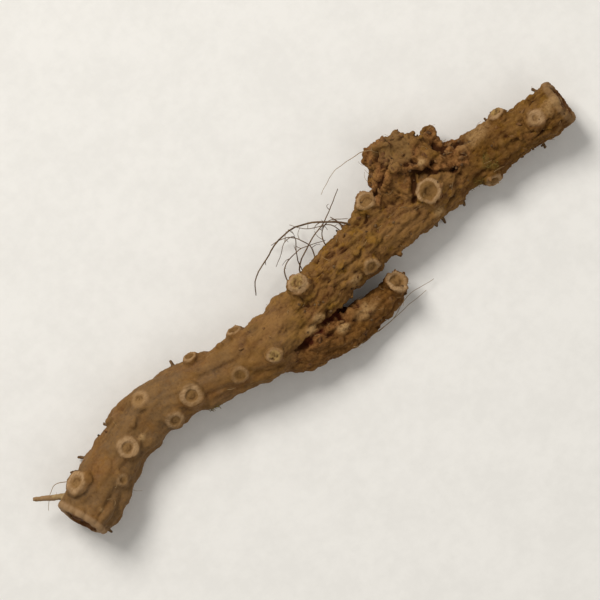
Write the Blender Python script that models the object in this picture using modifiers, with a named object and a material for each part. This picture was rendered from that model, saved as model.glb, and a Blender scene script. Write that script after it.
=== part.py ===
"""A piece of dried polypody rhizome, the creeping stem of a small fern, lying on its belly.

It grew as one piece: a long wrinkled stem, a side shoot that ends in a frond's cup, a side shoot that
was torn off short, the round cups that the fronds fell from, and the stubs of the wiry roots.
Metres, +Z up. The stem runs along +X to its younger end, and its flat spots rest at Z = 0.
"""

import functools
import math
import random

import bmesh
import bpy
from mathutils import Matrix, Vector, noise

MM = 0.001

# Each course is a row of points: along X, along Y, up Z and half the limb's width, in millimetres
STEM_COURSE = (
    (-29.6, -1.4, 3.5, 2.5),
    (-26.6, -0.4, 2.9, 2.85),
    (-23.2, 0.9, 2.3, 2.55),
    (-19.4, 1.9, 2.2, 2.7),
    (-15.0, 1.5, 2.6, 2.45),
    (-10.6, 0.3, 3.0, 2.45),
    (-5.9, -0.6, 3.1, 2.85),
    (-1.0, -0.2, 3.0, 2.4),
    (4.0, 0.5, 2.8, 2.5),
    (8.6, 0.7, 2.6, 2.65),
    (13.4, 0.2, 2.4, 2.4),
    (18.2, 0.3, 2.15, 2.5),
    (22.4, -0.3, 2.2, 2.35),
    (26.2, -1.0, 2.8, 2.1),
    (29.8, -1.3, 3.7, 2.2),
)
SHOOT_COURSE = (
    (-8.0, -0.6, 2.6, 1.6),
    (-4.2, -2.4, 2.3, 2.2),
    (-0.8, -3.7, 2.05, 2.15),
    (2.6, -4.4, 1.75, 1.75),
    (5.0, -4.5, 1.75, 1.4),
    (6.6, -4.2, 2.35, 1.15),
    (7.4, -3.95, 3.45, 1.15),
)
TORN_COURSE = (
    (16.2, 0.4, 2.5, 3.4),
    (15.4, 2.4, 2.6, 4.1),
    (14.6, 4.4, 2.8, 3.3),
    (14.9, 6.6, 3.1, 1.7),
)
# Moves the grown piece so that the middle of its box stands over the origin, in millimetres
TO_ORIGIN = Vector((0.72, -0.73, 0.0))

# Rings along each limb, and points round each ring
STEM_GRID = (76, 22)
SHOOT_GRID = (18, 14)
TORN_GRID = (12, 18)

# Where a frond grew: along X and degrees from the stem's top towards +Y, then its cup's radius, its height
# and how far its middle stands above its rim, in millimetres. Where that is over 0, a stalk broke off short.
FROND_CUPS = (
    (-27.4, 44, 1.10, 0.28, -0.24),
    (-25.3, -32, 0.70, 0.14, -0.12),
    (-22.3, -8, 1.00, 0.26, -0.22),
    (-18.2, 38, 0.95, 0.14, -0.12),
    (-16.6, -44, 0.95, 0.34, -0.26),
    (-13.9, -14, 1.05, 0.30, -0.26),
    (-12.8, 70, 0.65, 0.50, -0.20),
    (-9.3, -20, 0.85, 0.14, -0.10),
    (-7.9, 78, 0.75, 0.50, -0.24),
    (-5.9, -18, 0.75, 0.42, 0.10),
    (0.4, 40, 1.05, 0.90, 0.35),
    (6.2, -40, 0.85, 0.45, -0.20),
    (9.7, 58, 1.05, 1.20, -0.30),
    (15.0, 6, 1.15, 0.62, -0.34),
    (21.0, -74, 0.80, 0.60, -0.22),
    (24.4, 66, 0.75, 0.45, 0.12),
    (27.7, 6, 0.90, 0.20, -0.12),
)
CUP_SIDES = 10
CUP_SINK = 0.75
CUP_LEAN = 0.55
CUP_WOBBLE = 0.10

ROOT_COUNT = 42
ROOT_RADIUS = 0.27
ROOT_SEED = 11
NUB_COUNT = 16
NUB_RADIUS = 0.50
NUB_SEED = 4
CRAG_COUNT = 24
CRAG_RADIUS = 0.62
CRAG_SEED = 5
SLIVER_ROOT = Vector((-28.6, 0.6, 3.2))
SLIVER_TIP = Vector((-32.0, 3.0, 3.5))
SLIVER_RADIUS = 0.42
SLIVER_TAPER = 0.4
# How deep a root, nub or crag is sunk below the bark, in millimetres
SUNK = 0.6

# How tall a limb's section is as a share of its width
STEM_FLATNESS = 0.86
SHOOT_FLATNESS = 1.0
TORN_FLATNESS = 0.64

# The bark's relief as shares of the limb's half width
FURROW_DEPTH = 0.15
SWELLING_HEIGHT = 0.10
KNOT_HEIGHT = 0.07
SEAT_HEIGHT = 0.09
SHOOT_LUMPS = 0.16
TORN_LUMPS = 0.28
TORN_GRIT = 0.20

# A broken end, from its rim inwards: shares of the rim's radius, and how far each ring stands out, mm
BROKEN_END = ((0.94, 0.35), (0.78, 0.42), (0.62, 0.05), (0.30, 0.22))
CUP_END = ((0.80, 0.02), (0.62, -0.30), (0.24, -0.32))
TORN_END = ((0.80, 0.45), (0.50, 0.20), (0.25, 0.65))
END_WOBBLE = 0.12

# The box that takes away what would reach below the surface the piece lies on, in millimetres
REST_CUT_SIZE = Vector((90.0, 40.0, 4.0))

BARK_COLOUR = (0.19, 0.100, 0.041, 1.0)
BARK_ROUGHNESS = 0.82
SHARP_EDGE = math.radians(50)


def clear_scene():
    for old in list(bpy.data.objects):
        bpy.data.objects.remove(old)


def collection(name):
    made = bpy.data.collections.new(name)
    bpy.context.scene.collection.children.link(made)
    return made


def course_row(course, share):
    """The row at a share of the course, from 0 to 1, on a smooth curve through all its rows."""
    place = share * (len(course) - 1)
    first = min(int(place), len(course) - 2)
    t = place - first
    before, start, end, after = (
        Vector(course[min(max(first + step, 0), len(course) - 1)]) for step in (-1, 0, 1, 2)
    )
    return 0.5 * (
        2 * start
        + (end - before) * t
        + (2 * before - 5 * start + 4 * end - after) * t**2
        + (3 * start - before - 3 * end + after) * t**3
    )


def share_at(course, along_x):
    """The share of a course that runs towards +X where it reaches this X."""
    low, high = 0.0, 1.0
    for _ in range(24):
        middle = (low + high) / 2
        if course_row(course, middle).x < along_x:
            low = middle
        else:
            high = middle
    return (low + high) / 2


def frame_at(course, share):
    """Centre, forward, sideways and up directions, and half width, in millimetres."""
    step = 0.01
    ahead = course_row(course, min(share + step, 1.0)).xyz
    behind = course_row(course, max(share - step, 0.0)).xyz
    forward = (ahead - behind).normalized()
    sideways = Vector((0, 0, 1)).cross(forward).normalized()
    row = course_row(course, share)
    return row.xyz, forward, sideways, forward.cross(sideways), row.w


def ray_at(sideways, up, angle):
    """The direction out of a limb at an angle from its top towards +Y."""
    return sideways * math.sin(angle) + up * math.cos(angle)


@functools.cache
def frond_seats():
    """The centre of the stem, the ray and the radius of each frond's cup."""
    seats = []
    for along_x, degrees, radius, *_ in FROND_CUPS:
        centre, _, sideways, up, _ = frame_at(STEM_COURSE, share_at(STEM_COURSE, along_x))
        seats.append((centre, ray_at(sideways, up, math.radians(degrees)), radius))
    return seats


def bark_relief(centre, ray):
    """The dried bark's reach as a factor: furrows that run along the limb, slow swellings and knots."""
    furrow_spot = Vector((centre.x * 0.20, ray.y * 1.7, ray.z * 1.7 + ray.x))
    furrow = (1 - abs(noise.noise(furrow_spot))) ** 6
    swelling = noise.noise(Vector((centre.x * 0.36, ray.y * 0.9, ray.z * 0.9 + 5)))
    knots = noise.noise(centre * 0.5 + ray * 2.0)
    return 1.04 - FURROW_DEPTH * furrow + SWELLING_HEIGHT * swelling + KNOT_HEIGHT * knots


def stem_relief(centre, ray):
    """The bark's relief with a soft swelling under each frond's cup."""
    relief = bark_relief(centre, ray)
    for seat_centre, seat_ray, radius in frond_seats():
        apart = (centre - seat_centre).length / (1.5 * radius)
        if apart < 3:
            relief += SEAT_HEIGHT * radius * math.exp(-apart * apart - (1 - ray.dot(seat_ray)) / 0.14)
    return relief


def shoot_relief(centre, ray):
    """The side shoot's relief, which is lumpier than the stem's."""
    return bark_relief(centre, ray) + SHOOT_LUMPS * noise.noise(centre * 0.8 + ray * 1.3)


def torn_relief(centre, ray):
    """The torn shoot's relief, whose bark has burst into coarse lumps."""
    lumps = noise.noise(centre * 0.55 + ray * 1.9)
    grit = noise.noise(centre * 1.3 + ray * 3.7)
    return 1 + TORN_LUMPS * lumps + TORN_GRIT * grit


def surface_point(course, share, angle, relief, flatness=STEM_FLATNESS):
    """The point on a limb's bark at an angle from its top, and the ray that it lies on."""
    centre, _, sideways, up, half_width = frame_at(course, share)
    ray = ray_at(sideways, up, angle)
    reach = ray_at(sideways, up * flatness, angle)
    return centre + reach * (half_width * relief(centre, ray)), ray


def skin(name, rings, first_tip, last_tip):
    """A closed solid through the rings of points, with a fan to a tip at each end, in millimetres."""
    mesh = bmesh.new()
    loops = [[mesh.verts.new(point * MM) for point in ring] for ring in rings]
    sides = len(rings[0])
    for lower, upper in zip(loops, loops[1:]):
        for side in range(sides):
            after = (side + 1) % sides
            mesh.faces.new((lower[side], lower[after], upper[after], upper[side]))
    for loop, tip in ((loops[0], first_tip), (loops[-1], last_tip)):
        middle = mesh.verts.new(tip * MM)
        for side in range(sides):
            mesh.faces.new((loop[side], loop[(side + 1) % sides], middle))
    bmesh.ops.recalc_face_normals(mesh, faces=mesh.faces)
    data = bpy.data.meshes.new(name)
    mesh.to_mesh(data)
    mesh.free()
    return bpy.data.objects.new(name, data)


def end_rings(ring, outward, pattern):
    """Smaller rings that close a limb's end, from its rim inwards, and the tip in their middle."""
    centre = sum(ring, Vector()) / len(ring)
    made = []
    for number, (share, stand) in enumerate(pattern):
        wobble = END_WOBBLE * (number + 1)
        made.append([
            centre
            + (point - centre) * share
            + outward * (stand + wobble * noise.noise(point * 0.9 + Vector((number, 0, 0))))
            for point in ring
        ])
    return made, centre + outward * pattern[-1][1]


def limb(name, course, relief, grid, first_pattern, last_pattern, flatness):
    """A stem or shoot: rings of bark along its course, closed by a patterned end at each end."""
    stations, sides = grid
    rings = []
    for station in range(stations + 1):
        share = station / stations
        rings.append([
            surface_point(course, share, math.tau * side / sides, relief, flatness)[0]
            for side in range(sides)
        ])
    backward = -frame_at(course, 0.0)[1]
    forward = frame_at(course, 1.0)[1]
    first_end, first_tip = end_rings(rings[0], backward, first_pattern)
    last_end, last_tip = end_rings(rings[-1], forward, last_pattern)
    return skin(name, first_end[::-1] + rings + last_end, first_tip, last_tip)


def turned(name, profile, sides):
    """A profile of radius and height, in millimetres, from its top down its outside, turned round Z."""
    data = bpy.data.meshes.new(name)
    points = [(radius * MM, 0, height * MM) for radius, height in profile]
    data.from_pydata(points, [(n, n + 1) for n in range(len(points) - 1)], [])
    spun = bpy.data.objects.new(name, data)
    bpy.context.scene.collection.objects.link(spun)
    screw = spun.modifiers.new("turn", "SCREW")
    screw.steps = screw.render_steps = sides
    screw.use_merge_vertices = True
    screw.merge_threshold = 1e-6
    graph = bpy.context.evaluated_depsgraph_get()
    solid = bpy.data.objects.new(name, bpy.data.meshes.new_from_object(spun.evaluated_get(graph)))
    bpy.data.objects.remove(spun)
    return solid


def frond_cup(number, radius, height, middle):
    """The seat that a frond fell from: a raised rim round a shallow bowl or round the stalk's stump."""
    profile = (
        (0.0, height + 0.60 * middle),
        (0.22 * radius, height + 0.65 * middle),
        (0.42 * radius, height + middle),
        (0.72 * radius, height + 0.85 * middle),
        (0.84 * radius, height - 0.02),
        (0.97 * radius, height),
        (1.06 * radius, height - 0.14),
        (1.30 * radius, -0.10),
        (1.05 * radius, -CUP_SINK),
        (0.0, -CUP_SINK),
    )
    cup = turned(f"frond_cup_{number}", profile, CUP_SIDES)
    for vertex in cup.data.vertices:
        spot = vertex.co / (radius * MM) + Vector((number * 3.1, 0, 0))
        vertex.co *= 1 + CUP_WOBBLE * noise.noise(spot)
    return cup


def stand_on(piece, point, direction, roll=0.0):
    """Sets a piece down at a point in millimetres, with its +Z along a direction."""
    turn = direction.to_track_quat("Z", "X").to_matrix().to_4x4()
    place = Matrix.Translation(point * MM) @ turn @ Matrix.Rotation(roll, 4, "Z")
    piece.data.transform(place)


def frond_cups():
    """A cup at each place where a frond grew. A tall one leans back upwards, as fronds do."""
    made = []
    for number, (along_x, degrees, radius, height, middle) in enumerate(FROND_CUPS):
        share = share_at(STEM_COURSE, along_x)
        point, ray = surface_point(STEM_COURSE, share, math.radians(degrees), stem_relief)
        cup = frond_cup(number, radius, height, middle)
        lean = Vector((0, 0, CUP_LEAN * height))
        stand_on(cup, point, (ray + lean).normalized(), roll=number)
        made.append(cup)
    return made


def spike(name, root, tip, sag, thick, taper, sides, joints=1):
    """A wiry root or crag from a root point to a tip that is thinner by the taper, curved by its sag."""
    rings = []
    forward = (tip - root).normalized()
    across = forward.orthogonal().normalized()
    other = forward.cross(across)
    for joint in range(joints + 1):
        share = joint / joints
        centre = root.lerp(tip, share) + sag * (share * share - share)
        radius = thick * (1 + (taper - 1) * share)
        rings.append([
            centre + ray_at(across, other, math.tau * side / sides) * radius
            for side in range(sides)
        ])
    return skin(name, rings, root - forward * 0.1, tip + forward * thick * taper * 0.5)


def share_in_turn(draw, number, count, spread):
    """A random share of the stem near the place that a numbered piece would have in an even row."""
    return min(max((number + draw.uniform(*spread)) / count, 0.02), 0.98)


def root_stubs():
    """Stubs of the wiry roots along the belly, shorter towards the flanks, leaning back as they grew."""
    draw = random.Random(ROOT_SEED)
    made = []
    for number in range(ROOT_COUNT):
        share = share_in_turn(draw, number, ROOT_COUNT, (-0.6, 1.6))
        side = draw.choice((-1, 1))
        off_belly = draw.uniform(8, 82)
        bark, ray = surface_point(STEM_COURSE, share, math.radians(180 + side * off_belly), stem_relief)
        lean = Vector((draw.uniform(-1.0, 0.2), draw.uniform(-0.4, 0.4), 0))
        length = draw.uniform(0.6, 2.2) * (1.2 - off_belly / 90)
        tip = bark + (ray + lean).normalized() * (0.3 + length)
        sag = Vector((0, 0, 0.4 * length))
        root = bark - ray * SUNK
        made.append(spike(f"root_{number}", root, tip, sag, ROOT_RADIUS, 0.6, sides=5, joints=2))
    return made


def bark_nubs():
    """Low knobs on the flanks and back, where a root broke off or a scale sat."""
    draw = random.Random(NUB_SEED)
    made = []
    for number in range(NUB_COUNT):
        share = share_in_turn(draw, number, NUB_COUNT, (0, 1))
        angle = math.radians(draw.uniform(-95, 95))
        bark, ray = surface_point(STEM_COURSE, share, angle, stem_relief)
        tip = bark + ray * draw.uniform(0.15, 0.40)
        root = bark - ray * SUNK
        made.append(spike(f"nub_{number}", root, tip, Vector(), NUB_RADIUS, 0.6, sides=6))
    return made


def torn_crags():
    """Crags of burst bark that stand out of the torn shoot's end and back."""
    draw = random.Random(CRAG_SEED)
    made = []
    for number in range(CRAG_COUNT):
        share = draw.uniform(0.45, 1.0)
        angle = math.radians(draw.uniform(-125, 125))
        bark, ray = surface_point(TORN_COURSE, share, angle, torn_relief, TORN_FLATNESS)
        forward = frame_at(TORN_COURSE, share)[1]
        direction = (ray * draw.uniform(0.3, 0.9) + forward * share).normalized()
        root = bark - ray * (SUNK + draw.uniform(0.0, 0.5))
        tip = bark + direction * draw.uniform(0.2, 0.8)
        made.append(spike(f"crag_{number}", root, tip, Vector(), CRAG_RADIUS, 0.55, sides=5))
    return made


def end_sliver():
    """A strip of bark that was dragged out of the older end as it broke."""
    sag = Vector((0, 0, 0.8))
    return spike(
        "end_sliver", SLIVER_ROOT, SLIVER_TIP, sag, SLIVER_RADIUS, SLIVER_TAPER, sides=5, joints=3
    )


def join_grown(stem, pieces):
    """Fuses everything that grew on the stem into it, as one body."""
    grown = collection("grown_on_stem")
    for piece in pieces:
        grown.objects.link(piece)
    union = stem.modifiers.new("grown_together", "BOOLEAN")
    union.operation = "UNION"
    union.operand_type = "COLLECTION"
    union.collection = grown
    graph = bpy.context.evaluated_depsgraph_get()
    whole = bpy.data.meshes.new_from_object(stem.evaluated_get(graph))
    stem.modifiers.clear()
    stem.data = whole
    for piece in pieces:
        bpy.data.objects.remove(piece)
    bpy.data.collections.remove(grown)


def rest_flat(stem, cutters):
    """Cuts the belly's three lowest swellings flat at Z = 0, where the piece rests."""
    bpy.ops.mesh.primitive_cube_add(size=1.0)
    below = bpy.context.object
    below.name = "surface_below"
    below.scale = REST_CUT_SIZE * MM
    below.location.z = -REST_CUT_SIZE.z / 2 * MM
    below.hide_render = True
    below.display_type = "WIRE"
    for holder in list(below.users_collection):
        holder.objects.unlink(below)
    cutters.objects.link(below)
    cut = stem.modifiers.new("resting_flats", "BOOLEAN")
    cut.operation = "DIFFERENCE"
    cut.object = below


def bark_material():
    made = bpy.data.materials.new("dried_bark")
    made.use_nodes = True
    shader = made.node_tree.nodes["Principled BSDF"]
    shader.inputs["Base Color"].default_value = BARK_COLOUR
    shader.inputs["Roughness"].default_value = BARK_ROUGHNESS
    shader.inputs["Metallic"].default_value = 0.0
    return made


def build():
    clear_scene()
    parts = collection("polypody_rhizome")
    cutters = collection("cutters")
    stem = limb("rhizome", STEM_COURSE, stem_relief, STEM_GRID, BROKEN_END, BROKEN_END, STEM_FLATNESS)
    shoot = limb("side_shoot", SHOOT_COURSE, shoot_relief, SHOOT_GRID, BROKEN_END, CUP_END, SHOOT_FLATNESS)
    torn = limb("torn_shoot", TORN_COURSE, torn_relief, TORN_GRID, BROKEN_END, TORN_END, TORN_FLATNESS)
    parts.objects.link(stem)
    grown = [shoot, torn, end_sliver(), *frond_cups(), *root_stubs(), *bark_nubs(), *torn_crags()]
    join_grown(stem, grown)
    stem.location = TO_ORIGIN * MM
    rest_flat(stem, cutters)
    stem.data.materials.clear()
    stem.data.materials.append(bark_material())
    stem.data.shade_smooth()
    stem.data.set_sharp_from_angle(angle=SHARP_EDGE)


build()
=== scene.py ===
import math
import random

import bmesh
import bpy
import numpy as np
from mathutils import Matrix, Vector, noise


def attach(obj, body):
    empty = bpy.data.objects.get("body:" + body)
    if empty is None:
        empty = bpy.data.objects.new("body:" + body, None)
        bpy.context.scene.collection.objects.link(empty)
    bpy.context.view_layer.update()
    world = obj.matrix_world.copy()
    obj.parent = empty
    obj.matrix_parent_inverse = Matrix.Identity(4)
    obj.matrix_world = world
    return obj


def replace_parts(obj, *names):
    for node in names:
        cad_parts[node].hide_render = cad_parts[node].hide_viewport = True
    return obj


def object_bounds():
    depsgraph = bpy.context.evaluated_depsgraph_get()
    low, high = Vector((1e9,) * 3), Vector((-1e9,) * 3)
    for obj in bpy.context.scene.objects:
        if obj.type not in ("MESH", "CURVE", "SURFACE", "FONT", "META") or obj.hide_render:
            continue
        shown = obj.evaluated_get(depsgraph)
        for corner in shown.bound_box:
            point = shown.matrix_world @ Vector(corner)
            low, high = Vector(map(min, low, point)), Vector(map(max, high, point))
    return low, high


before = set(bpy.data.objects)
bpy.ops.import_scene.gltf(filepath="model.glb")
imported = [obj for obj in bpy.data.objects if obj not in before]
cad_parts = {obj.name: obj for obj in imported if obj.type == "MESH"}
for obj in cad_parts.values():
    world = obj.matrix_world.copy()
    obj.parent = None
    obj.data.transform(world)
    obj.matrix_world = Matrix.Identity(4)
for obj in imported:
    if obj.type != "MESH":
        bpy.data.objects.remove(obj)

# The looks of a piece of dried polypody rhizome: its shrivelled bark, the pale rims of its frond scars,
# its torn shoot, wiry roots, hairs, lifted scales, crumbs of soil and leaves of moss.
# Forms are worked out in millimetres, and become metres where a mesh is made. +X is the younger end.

CAD_BOX = [list(corner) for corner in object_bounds()]
MM = 0.001
UP = Vector((0, 0, 1))

# Each course is a row of points: along X, along Y, up Z and half the limb's width
STEM_COURSE = (
    (-29.6, -1.4, 3.5, 2.5),
    (-26.6, -0.4, 2.9, 2.85),
    (-23.2, 0.9, 2.3, 2.55),
    (-19.4, 1.9, 2.2, 2.7),
    (-15.0, 1.5, 2.6, 2.45),
    (-10.6, 0.3, 3.0, 2.45),
    (-5.9, -0.6, 3.1, 2.85),
    (-1.0, -0.2, 3.0, 2.4),
    (4.0, 0.5, 2.8, 2.5),
    (8.6, 0.7, 2.6, 2.65),
    (13.4, 0.2, 2.4, 2.4),
    (18.2, 0.3, 2.15, 2.5),
    (22.4, -0.3, 2.2, 2.35),
    (26.2, -1.0, 2.8, 2.1),
    (29.8, -1.3, 3.7, 2.2),
)
SHOOT_COURSE = (
    (-8.0, -0.6, 2.6, 1.6),
    (-4.2, -2.4, 2.3, 2.2),
    (-0.8, -3.7, 2.05, 2.15),
    (2.6, -4.4, 1.75, 1.75),
    (5.0, -4.5, 1.75, 1.4),
    (6.6, -4.2, 2.35, 1.15),
    (7.4, -3.95, 3.45, 1.15),
)
TORN_COURSE = (
    (16.2, 0.4, 2.5, 3.4),
    (15.4, 2.4, 2.6, 4.1),
    (14.6, 4.4, 2.8, 3.3),
    (14.9, 6.6, 3.1, 1.7),
)
# Moves the grown piece so that the middle of its box stands over the origin
TO_ORIGIN = Vector((0.72, -0.73, 0.0))

# Rings along each limb, and points round each ring
STEM_GRID = (480, 88)
SHOOT_GRID = (120, 56)
TORN_GRID = (70, 80)

# Where a frond grew: along X and degrees from the stem's top towards +Y, then its cup's radius, its height
# and its middle's stand above its rim, over 0 where a stalk broke off short. Last come how pale the rim and
# the middle are, and the rim's width against the radius, as in the side shoot's look.
FROND_CUPS = (
    (-27.4, 44, 1.10, 0.28, -0.24, 1.00, 0.70, 0.30),
    (-25.3, -32, 0.70, 0.14, -0.12, 0.50, 0.60, 0.36),
    (-22.3, -8, 1.00, 0.26, -0.22, 0.95, 0.72, 0.28),
    (-18.2, 38, 0.95, 0.14, -0.12, 0.55, 0.80, 0.36),
    (-16.6, -44, 0.95, 0.34, -0.26, 0.75, 0.85, 0.30),
    (-13.9, -14, 1.05, 0.30, -0.26, 0.95, 0.60, 0.28),
    (-12.8, 70, 0.65, 0.50, -0.20, 0.60, 0.25, 0.22),
    (-9.3, -20, 0.85, 0.14, -0.10, 0.55, 0.30, 0.26),
    (-7.9, 78, 0.75, 0.50, -0.24, 0.60, 0.25, 0.22),
    (-5.9, -18, 0.75, 0.42, 0.10, 0.75, 0.90, 0.24),
    (0.4, 40, 1.05, 0.90, 0.35, 0.90, 1.00, 0.24),
    (6.2, -40, 0.85, 0.45, -0.20, 0.65, 0.50, 0.24),
    (9.7, 58, 1.05, 1.20, -0.30, 0.75, 0.65, 0.24),
    (15.0, 6, 1.15, 0.62, -0.34, 1.00, 0.45, 0.16),
    (21.0, -74, 0.80, 0.60, -0.22, 0.90, 0.60, 0.24),
    (24.4, 66, 0.75, 0.45, 0.12, 0.75, 0.60, 0.24),
    (27.7, 6, 0.90, 0.20, -0.12, 0.90, 1.00, 0.46),
)
SHOOT_CUP_LOOK = (0.95, 0.75, 0.26)
CUP_SIDES = 40
CUP_SINK = 0.75
CUP_LEAN = 0.55
CUP_WOBBLE = 0.16

ROOT_COUNT = 42
ROOT_RADIUS = 0.27
ROOT_TAPER = 0.6
ROOT_SEED = 11
NUB_COUNT = 16
NUB_RADIUS = 0.50
NUB_SEED = 4
CRAG_COUNT = 24
CRAG_RADIUS = 0.62
CRAG_SEED = 5
SLIVER_ROOT = Vector((-28.6, 0.6, 3.2))
SLIVER_TIP = Vector((-32.0, 3.0, 3.5))
SLIVER_RADIUS = 0.42
SLIVER_TAPER = 0.4
SUNK = 0.6

STEM_FLATNESS = 0.86
SHOOT_FLATNESS = 1.0
TORN_FLATNESS = 0.64
FURROW_DEPTH = 0.15
SWELLING_HEIGHT = 0.10
KNOT_HEIGHT = 0.07
SEAT_HEIGHT = 0.09
SHOOT_LUMPS = 0.16
TORN_LUMPS = 0.28
TORN_GRIT = 0.20
BROKEN_END = ((0.94, 0.35), (0.78, 0.42), (0.62, 0.05), (0.30, 0.22))
CUP_END = ((0.80, 0.02), (0.62, -0.30), (0.24, -0.32))
TORN_END = ((0.80, 0.45), (0.50, 0.20), (0.25, 0.65))
END_WOBBLE = 0.12
# The sap strands in a broken end: how many, their radius, and their ring's against the limb's
STRAND_COUNT = 9
STRAND_RADIUS = 0.17
STRAND_RING = 0.52

# The fine mesh's face size, and how far the layers of the bark's relief stand or sink
VOXEL = 0.140
WRINKLE_HEIGHT = 0.20
CREASE_HEIGHT = 0.09
CRUMB_HEIGHT = 0.15
GRIT_HEIGHT = 0.07
LUMP_HEIGHT = 0.26
NICK_DEPTH = 0.12
DENT_DEPTH = 0.20
CRAG_HEIGHT = 0.30
HOLE_DEPTH = 0.34
SLIT_DEPTH = 0.45
SPLIT_DEPTH = 0.34
LIP_HEIGHT = 0.05

# How much of the relief the smooth older end has, and where it gives way to the younger bark
OLDER_SHARE = 0.38
OLDER_X = -13.0
YOUNGER_X = 3.0

# The lower edge of the torn shoot's burst bark on the stem's back, as points along X and along Y
TORN_EDGE_X = (9.0, 11.0, 13.4, 14.9, 18.4, 19.6, 22.0)
TORN_EDGE_Y = (3.4, 1.8, 1.3, 3.0, 0.1, -0.3, 2.4)
# Where the bark is split open beside it: start and end along X and Y, and half width
SPLITS = (
    ((13.5, 0.7), (15.1, 2.7), 0.42),
    ((15.0, 3.0), (18.3, 0.3), 0.34),
    ((18.2, 3.2), (21.4, 1.4), 0.30),
    ((11.2, 3.6), (13.6, 4.6), 0.30),
)

# Pale lumps on the back: place along X and Y, radius, length against it, and how pale it is
LUMPS = (
    (-27.7, -1.9, 0.22, 1.0, 0.9),
    (-20.5, 0.7, 0.30, 1.3, 0.8),
    (-1.7, -2.1, 0.34, 1.5, 1.0),
    (-0.5, -1.6, 0.36, 1.4, 1.0),
    (0.7, -3.9, 0.44, 1.3, 1.0),
    (3.3, -4.1, 0.60, 1.7, 0.65),
    (4.4, -1.3, 0.40, 1.6, 0.8),
    (14.7, -1.5, 0.34, 1.4, 1.0),
    (16.4, 3.0, 0.34, 1.2, 1.0),
    (21.9, 1.5, 0.62, 2.6, 0.55),
    (29.0, -0.9, 0.60, 1.8, 0.55),
)
LUMP_RISE = 0.42
# Spots where the back is worn smooth and paler, in the same numbers
WORN_SPOTS = (
    (11.3, -0.7, 1.4, 1.9, 1.0),
    (17.3, 0.5, 0.9, 1.9, 1.0),
    (-4.0, 0.8, 1.0, 2.0, 1.0),
)

# The dusty mound on the torn shoot's back: along X, along Y and radius
MOUND = (15.3, 5.4, 2.0)
# Rounds of smoothing that wear the torn shoot's crags down
WORN_ROUNDS = 22
# How far the bark may stand above the solid's top
TOP_ROOM = 0.15

# The radius and the points of each root that arches out of the stem's +Y flank
ARCHING_ROOTS = (
    (0.11, ((8.0, 2.0, 3.4), (7.0, 3.7, 4.0), (5.7, 5.0, 4.3), (3.9, 5.9, 4.3), (1.5, 6.3, 3.8),
            (-0.8, 5.8, 3.1), (-2.8, 4.9, 2.6), (-3.7, 3.9, 2.3))),
    (0.08, ((0.9, 2.2, 3.0), (1.5, 3.3, 3.4), (3.9, 4.3, 3.9), (5.9, 4.9, 4.2), (7.8, 5.7, 4.0),
            (8.9, 6.2, 3.4))),
    (0.07, ((4.3, 2.2, 2.6), (4.6, 3.4, 3.3), (5.2, 4.3, 3.6), (6.3, 4.6, 3.8), (7.6, 3.6, 3.5))),
    (0.07, ((-0.6, 2.0, 2.2), (0.2, 4.0, 2.5), (2.2, 4.4, 2.8), (4.7, 3.4, 2.6))),
    (0.06, ((1.2, 2.2, 2.2), (1.9, 4.3, 2.6), (2.8, 5.4, 3.0), (1.6, 5.7, 2.8), (-0.4, 4.7, 2.0))),
    (0.07, ((2.6, 2.2, 2.0), (3.4, 4.0, 1.6), (2.4, 5.8, 1.2), (0.6, 6.4, 0.7))),
    (0.06, ((6.4, 2.4, 2.6), (6.2, 4.0, 2.2), (4.6, 5.0, 2.0), (3.2, 6.6, 1.4))),
)

LONG_HAIRS = (
    ((-2.9, -4.6, 3.0), (0.4, -6.0, 2.6), (4.0, -6.4, 1.8), (7.6, -5.6, 1.3), (10.2, -6.1, 0.5)),
    ((-1.2, -5.0, 2.6), (2.0, -6.3, 1.4), (5.6, -6.4, 0.7), (9.0, -6.5, 0.2)),
    ((14.8, 6.2, 3.9), (12.6, 7.4, 4.3), (10.0, 7.7, 3.6), (7.2, 7.0, 2.6)),
    ((-27.4, 1.4, 4.0), (-29.2, 2.6, 4.2), (-30.6, 2.4, 3.4), (-31.6, 1.2, 2.9)),
)
HAIR_RADIUS = 0.045
SHORT_HAIR_RADIUS = 0.026
ROOTLET_RADIUS = 0.085
BRANCH_RADIUS = 0.04
WIRE_SEED = 8
WIRE_SHARE = 0.80
WIRE_REACH = 24.0
PATH_STEPS = 28
SHORT_HAIR_COUNT = 90
SHORT_HAIR_SEED = 21

CHAFF_COUNT = 120
FLAKE_COUNT = 220
SCALE_THICKNESS = 0.035
SCALE_SEED = 3
CRUMB_COUNT = 200
CRUMB_SEED = 6

# Tufts of moss on the stem: along X, degrees from the top towards +Y, and radius
MOSS_SPOTS = ((-12.6, -84, 0.9), (21.6, -30, 0.9), (19.6, -66, 0.7))
MOSS_LEAVES = 16
MOSS_SEED = 15

# Vector noise, which bends the wires, takes a random start unless it is given one
NOISE_SEED = 7

# The room that wires keep to: the solid's box, and a little more along X and Y
SIDE_ROOM = Vector((0.25, 0.25, 0.0))
ROOM_LOW, ROOM_HIGH = (Vector(corner) / MM - TO_ORIGIN for corner in CAD_BOX)
ROOM_LOW -= SIDE_ROOM
ROOM_HIGH += SIDE_ROOM

# How far the stem is turned from the view's right, in degrees, and the view, in metres
STEM_TURN = 41.0
CAMERA_HEIGHT = 0.45
VIEW_WIDTH = 0.057
# Each lamp's slant to the view's right and to its top, and its distance, size and power
LAMPS = (("key_light", -0.6, 0.7, 0.60, 0.24, 2.8), ("fill_light", 0.9, -0.3, 0.70, 0.50, 0.6))
LAMP_COLOUR = (1.0, 0.975, 0.94)
SKY_COLOUR = (1.0, 0.985, 0.96, 1.0)
SKY_STRENGTH = 0.34
FLOOR_SIZE = 4.0
FLOOR_DROP = -0.01 * MM


# Form, worked out as the solid is


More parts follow.
